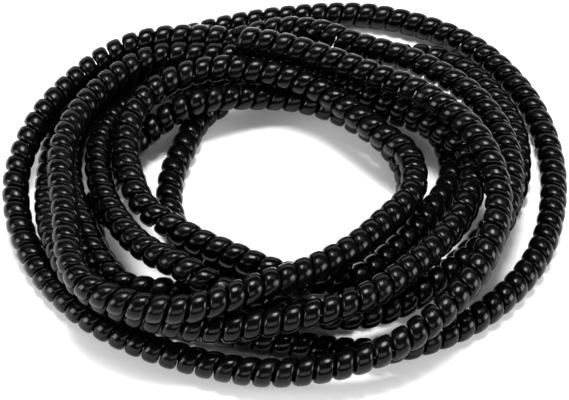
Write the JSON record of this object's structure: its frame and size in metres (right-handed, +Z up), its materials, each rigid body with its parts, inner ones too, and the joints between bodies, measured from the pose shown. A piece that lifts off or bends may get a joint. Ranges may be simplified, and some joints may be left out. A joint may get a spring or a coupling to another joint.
{
  "type": "spiral cable wrap",
  "caption": "Long flexible spiral-cut plastic cable wrap with bead-like turns, lying in a loose oval coil with its ends tucked in.",
  "frame": {"origin": "centre of the coil's footprint, on the floor that it lies on", "axes": "+Z up, +X to the right of the picture along the coil's longer side, -Y towards the camera"},
  "size_m": [0.1023, 0.0942, 0.0176],
  "materials": {
    "wrap_black": "glossy moulded black with dark grooves between turns"
  },
  "bodies": {
    "root": {"spiral_wrap": "wrap_black"}
  },
  "joints": []
}
